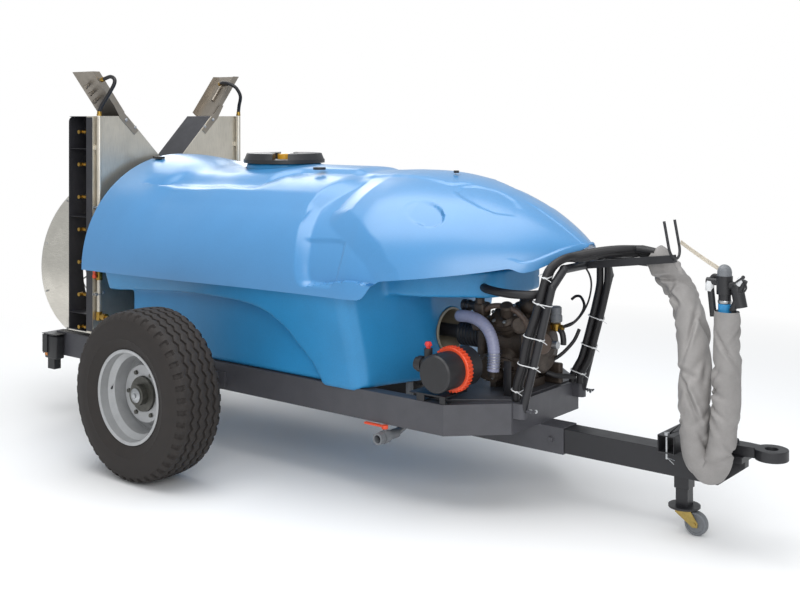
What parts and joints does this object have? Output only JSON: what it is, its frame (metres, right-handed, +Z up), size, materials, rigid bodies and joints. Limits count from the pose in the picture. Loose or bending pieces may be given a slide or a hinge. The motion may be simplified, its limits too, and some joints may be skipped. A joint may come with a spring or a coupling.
{
  "type": "wheeled orchard sprayer cart",
  "caption": "Trailed orchard sprayer: a moulded tank and hood on a wheeled chassis with drawbar, pump and shaft, strainer, hose support and a rear fan unit with side nozzles.",
  "frame": {"origin": "centre of the bounding box in plan, at the ground under the tyres", "axes": "+X forwards along the drawbar to the tow eye, +Y to the cart's left, +Z up"},
  "size_m": [3.974, 1.994, 1.861],
  "materials": {
    "chassis_paint": "semi-gloss dark grey enamel",
    "black_paint": "satin black enamel",
    "zinc": "bright zinc plate",
    "gold_zinc": "yellow passivated zinc plate",
    "caster_plastic": "moulded tread and core",
    "tyre_rubber": "matte",
    "rim_paint": "silver wheel enamel",
    "tank_plastic": "rotationally moulded polyethylene, satin",
    "hood_plastic": "rotationally moulded polyethylene, satin",
    "black_plastic": "fine grain",
    "yellow_plastic": "smooth",
    "pump_casting": "cast housing, painted",
    "gear_casting": "painted casting",
    "brass": "turned",
    "grey_hose": "ribbed soft tube",
    "black_hose": "satin",
    "orange_plastic": "moulded",
    "red_plastic": "moulded",
    "grey_plastic": "moulded",
    "grey_cloth": "coated cloth",
    "strap_cloth": "woven webbing",
    "stainless": "brushed stainless sheet",
    "wire_steel": "plated wire",
    "fan_plastic": "moulded blades",
    "lamp_plastic": "lamp lens and housing"
  },
  "bodies": {
    "chassis": {"rail_right": "chassis_paint", "rail_left": "chassis_paint", "front_crossbar": "chassis_paint", "crossmembers": "chassis_paint", "axle_beam": "chassis_paint", "post_clamps": "chassis_paint", "drawbar": "black_paint", "tow_eye": "black_paint", "hose_support": "black_paint", "fan_rear_plate": "black_paint", "air_guides": "black_paint", "tank_body": "tank_plastic", "tank_hood": "hood_plastic", "filler_basket": "black_plastic", "service_caps": "black_plastic", "filter_body": "black_plastic", "filter_bowl": "black_plastic", "pump_body": "pump_casting", "control_unit": "pump_casting", "gearbox": "gear_casting", "pump_valves": "brass", "nozzles": "brass", "supply_valves": "brass", "suction_hose": "grey_hose", "return_hose": "black_hose", "hoses_right": "black_hose", "hoses_left": "black_hose", "arm_hoses": "black_hose", "drain_valve": "grey_plastic", "hose_sleeve": "grey_cloth", "strap": "strap_cloth", "fan_front_plate": "stainless", "fan_cowl": "stainless", "risers": "stainless", "arm_right": "stainless", "arm_left": "stainless", "fan_grille": "wire_steel", "tail_lamps": "lamp_plastic"},
    "wheel_right": {"tyre_right": "tyre_rubber", "rim_right": "rim_paint", "hub_right": "rim_paint"},
    "wheel_left": {"tyre_left": "tyre_rubber", "rim_left": "rim_paint", "hub_left": "rim_paint"},
    "stand_leg": {"stand_leg": "black_paint"},
    "caster_fork": {"caster_fork": "gold_zinc"},
    "caster_wheel": {"caster_wheel": "caster_plastic"},
    "storage_pin": {"storage_pin": "zinc"},
    "filler_lid": {"filler_lid": "black_plastic", "lid_vent": "yellow_plastic"},
    "pto": {"pump_shaft": "zinc", "drive_shaft": "black_paint"},
    "fan": {"fan_rotor": "fan_plastic"},
    "filter_ring": {"filter_ring": "orange_plastic"},
    "filter_knob": {"filter_knob": "red_plastic"},
    "drain_lever": {"drain_lever": "orange_plastic"},
    "supply_lever_right": {"supply_lever_right": "orange_plastic"},
    "supply_lever_left": {"supply_lever_left": "orange_plastic"},
    "control_knob": {"control_knob": "grey_plastic"},
    "control_lever": {"control_lever": "black_plastic"}
  },
  "joints": [
    {"name": "wheel_right_spin", "type": "hinge", "parent": "chassis", "child": "wheel_right", "pos_m": [-0.615, -0.865, 0.38], "axis": [0, 1, 0], "continuous": true},
    {"name": "wheel_left_spin", "type": "hinge", "parent": "chassis", "child": "wheel_left", "pos_m": [-0.615, 0.865, 0.38], "axis": [0, 1, 0], "continuous": true},
    {"name": "stand_slide", "type": "slide", "parent": "chassis", "child": "stand_leg", "axis": [0, 0, -1], "range_m": [0, 0.12]},
    {"name": "caster_swivel", "type": "hinge", "parent": "stand_leg", "child": "caster_fork", "pos_m": [1.577, 0, 0.1], "axis": [0, 0, 1], "continuous": true},
    {"name": "caster_spin", "type": "hinge", "parent": "caster_fork", "child": "caster_wheel", "pos_m": [1.627, 0, 0.046], "axis": [0, 1, 0], "continuous": true},
    {"name": "storage_pin_slide", "type": "slide", "parent": "chassis", "child": "storage_pin", "axis": [0, 0, 1], "range_m": [0, 0.012]},
    {"name": "lid_hinge", "type": "hinge", "parent": "chassis", "child": "filler_lid", "pos_m": [-0.823, 0, 1.4003], "axis": [0, -1, 0], "range_deg": [0, 110]},
    {"name": "fan_spin", "type": "hinge", "parent": "chassis", "child": "fan", "pos_m": [-1.703, 0, 0.802], "axis": [1, 0, 0], "continuous": true},
    {"name": "pto_spin", "type": "hinge", "parent": "chassis", "child": "pto", "pos_m": [0.885, 0, 0.66], "axis": [1, 0, 0], "continuous": true},
    {"name": "filter_ring_turn", "type": "hinge", "parent": "chassis", "child": "filter_ring", "pos_m": [0.749, -0.4, 0.594], "axis": [0, 1, 0], "range_deg": [0, 180]},
    {"name": "filter_knob_turn", "type": "hinge", "parent": "chassis", "child": "filter_knob", "pos_m": [0.687, -0.484, 0.69], "axis": [0, 0, 1], "range_deg": [0, 90]},
    {"name": "drain_lever_turn", "type": "hinge", "parent": "chassis", "child": "drain_lever", "pos_m": [0.447, -0.47, 0.32], "axis": [0, 0, 1], "range_deg": [0, 90]},
    {"name": "supply_lever_right_turn", "type": "hinge", "parent": "chassis", "child": "supply_lever_right", "pos_m": [-1.46, -0.52, 0.796], "axis": [0, 1, 0], "range_deg": [0, 90]},
    {"name": "supply_lever_left_turn", "type": "hinge", "parent": "chassis", "child": "supply_lever_left", "pos_m": [-1.46, 0.52, 0.796], "axis": [0, 1, 0], "range_deg": [0, 90]},
    {"name": "control_knob_turn", "type": "hinge", "parent": "chassis", "child": "control_knob", "pos_m": [1.777, -0.084, 1.03], "axis": [0, 0, 1], "range_deg": [-180, 180]},
    {"name": "control_lever_turn", "type": "hinge", "parent": "chassis", "child": "control_lever", "pos_m": [1.817, -0.114, 1], "axis": [0, -1, 0], "range_deg": [0, 70]}
  ],
  "couplings": [
    {"joint": "pto_spin", "follows": "fan_spin", "ratio": -0.27778}
  ]
}
